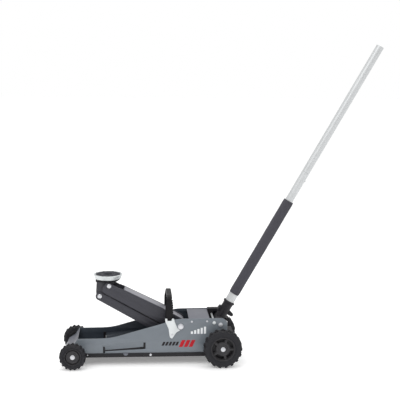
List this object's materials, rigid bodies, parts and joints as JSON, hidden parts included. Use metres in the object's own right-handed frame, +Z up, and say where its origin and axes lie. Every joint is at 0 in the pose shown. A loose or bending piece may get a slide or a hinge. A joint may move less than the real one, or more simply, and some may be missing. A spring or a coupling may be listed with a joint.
{
  "type": "hydraulic floor jack",
  "caption": "Wheeled hydraulic floor jack with a parallel-link lift arm, swivel saddle, pumping handle, tread-cut off-road wheels and a folding carrying handle.",
  "frame": {"origin": "on the floor, under the middle of the overall length and width", "axes": "+X towards the operator and the handle, +Y to the far side seen from the left, +Z up"},
  "size_m": [1.2258, 0.2804, 1.2182],
  "materials": {
    "grey_paint": "semi-gloss grey paint",
    "dark_paint": "semi-gloss charcoal paint",
    "black_paint": "satin black paint",
    "black_casting": "black-coated rough casting",
    "zinc_plate": "bright zinc plate",
    "bright_steel": "bright plated steel",
    "handle_tube": "silver lacquer over steel tube",
    "foam_sleeve": "matt closed-cell foam",
    "tyre_rubber": "matt moulded rubber",
    "hub_plastic": "satin black moulding",
    "pad_rubber": "matt ribbed rubber",
    "grip_plastic": "satin black moulding"
  },
  "bodies": {
    "chassis": {"side_plate_left": "grey_paint", "side_plate_right": "grey_paint", "top_cover": "grey_paint", "front_cross_plate": "grey_paint", "skid_pan": "black_paint", "link_anchor": "black_paint", "arm_spacer_left": "black_paint", "arm_spacer_right": "black_paint", "pump_block": "black_casting", "hydraulic_cylinder": "black_casting", "oil_reservoir": "black_casting", "carry_bracket_left": "zinc_plate", "carry_bracket_right": "zinc_plate", "tie_rod": "zinc_plate", "tie_rod_nut": "zinc_plate", "pump_spring": "zinc_plate", "front_axle": "zinc_plate", "rear_axle": "zinc_plate", "arm_pivot_bolt": "bright_steel", "arm_pivot_nut": "bright_steel", "yoke_bolt_left": "bright_steel", "yoke_bolt_right": "bright_steel", "bracket_rivet_left": "bright_steel", "bracket_rivet_right": "bright_steel", "link_rear_pin": "bright_steel", "front_axle_cap_left": "bright_steel", "front_axle_cap_right": "bright_steel", "rear_axle_cap_left": "bright_steel", "rear_axle_cap_right": "bright_steel"},
    "lift_arm": {"arm_plate_left": "dark_paint", "arm_plate_right": "dark_paint", "arm_web": "grey_paint", "arm_hub": "dark_paint", "crank_pin": "bright_steel", "head_pin": "bright_steel"},
    "saddle_head": {"saddle_bracket": "black_paint", "link_front_pin": "bright_steel"},
    "saddle": {"saddle_cup": "zinc_plate", "saddle_pad": "pad_rubber"},
    "link_bar": {"levelling_link": "dark_paint"},
    "ram_rod": {"ram": "bright_steel"},
    "pump_yoke": {"handle_socket": "black_casting", "clamp_bolt": "zinc_plate"},
    "handle": {"lower_tube": "handle_tube", "upper_tube": "handle_tube", "foam_sleeve": "foam_sleeve"},
    "button": {"spring_button": "bright_steel"},
    "plunger": {"pump_plunger": "bright_steel"},
    "valve_spindle": {"release_spindle": "zinc_plate"},
    "bail": {"carry_handle": "grip_plastic"},
    "front_wheel_left": {"front_tyre_left": "tyre_rubber", "front_hub_left": "hub_plastic"},
    "front_wheel_right": {"front_tyre_right": "tyre_rubber", "front_hub_right": "hub_plastic"},
    "rear_wheel_left": {"rear_tyre_left": "tyre_rubber", "rear_hub_left": "hub_plastic"},
    "rear_wheel_right": {"rear_tyre_right": "tyre_rubber", "rear_hub_right": "hub_plastic"}
  },
  "joints": [
    {"name": "arm_lift", "type": "hinge", "parent": "chassis", "child": "lift_arm", "pos_m": [-0.15555, 0, 0.1484], "axis": [0, 1, 0], "range_deg": [-39, 2.5]},
    {"name": "saddle_level", "type": "hinge", "parent": "lift_arm", "child": "saddle_head", "pos_m": [-0.42729, 0, 0.29841], "axis": [0, 1, 0], "range_deg": [-3, 40]},
    {"name": "saddle_turn", "type": "hinge", "parent": "saddle_head", "child": "saddle", "pos_m": [-0.43209, 0, 0.32841], "axis": [0, 0, 1], "continuous": true},
    {"name": "link_swing", "type": "hinge", "parent": "chassis", "child": "link_bar", "pos_m": [-0.19145, 0, 0.1073], "axis": [0, 1, 0], "range_deg": [-40, 3]},
    {"name": "ram_stroke", "type": "slide", "parent": "chassis", "child": "ram_rod", "axis": [-1, 0, 0], "range_m": [-0.036, 0.003]},
    {"name": "pump_stroke", "type": "hinge", "parent": "chassis", "child": "pump_yoke", "pos_m": [-0.00315, 0, 0.1536], "axis": [0, 1, 0], "range_deg": [-20, 50]},
    {"name": "plunger_stroke", "type": "slide", "parent": "chassis", "child": "plunger", "axis": [0, 0, -1], "range_m": [-0.0086, 0.0212], "deforming": ["pump_spring"]},
    {"name": "handle_twist", "type": "hinge", "parent": "pump_yoke", "child": "handle", "pos_m": [-0.00315, 0, 0.1536], "axis": [0.4955, 0, 0.8686], "range_deg": [0, 90]},
    {"name": "valve_turn", "type": "hinge", "parent": "chassis", "child": "valve_spindle", "pos_m": [0.04935, -0.022, 0.096], "axis": [1, 0, 0], "range_deg": [-1, 91]},
    {"name": "button_press", "type": "slide", "parent": "handle", "child": "button", "axis": [-0.8686, 0, 0.4955], "range_m": [0, 0.003], "stiffness_N_per_m": 400},
    {"name": "bail_fold", "type": "hinge", "parent": "chassis", "child": "bail", "pos_m": [-0.19835, 0, 0.16], "axis": [0, 1, 0], "range_deg": [0, 60]},
    {"name": "front_wheel_left_spin", "type": "hinge", "parent": "chassis", "child": "front_wheel_left", "pos_m": [-0.56265, -0.121, 0.0502], "axis": [0, 1, 0], "continuous": true},
    {"name": "front_wheel_right_spin", "type": "hinge", "parent": "chassis", "child": "front_wheel_right", "pos_m": [-0.56265, 0.121, 0.0502], "axis": [0, 1, 0], "continuous": true},
    {"name": "rear_wheel_left_spin", "type": "hinge", "parent": "chassis", "child": "rear_wheel_left", "pos_m": [0.00235, -0.121, 0.0733], "axis": [0, 1, 0], "continuous": true},
    {"name": "rear_wheel_right_spin", "type": "hinge", "parent": "chassis", "child": "rear_wheel_right", "pos_m": [0.00235, 0.121, 0.0733], "axis": [0, 1, 0], "continuous": true}
  ],
  "couplings": [
    {"joint": "saddle_level", "follows": "arm_lift", "ratio": -1},
    {"joint": "link_swing", "follows": "arm_lift", "ratio": 1},
    {"joint": "ram_stroke", "follows": "arm_lift", "m_per_rad": 0.0508},
    {"joint": "plunger_stroke", "follows": "pump_stroke", "m_per_rad": 0.024},
    {"joint": "valve_turn", "follows": "handle_twist", "ratio": 1}
  ]
}
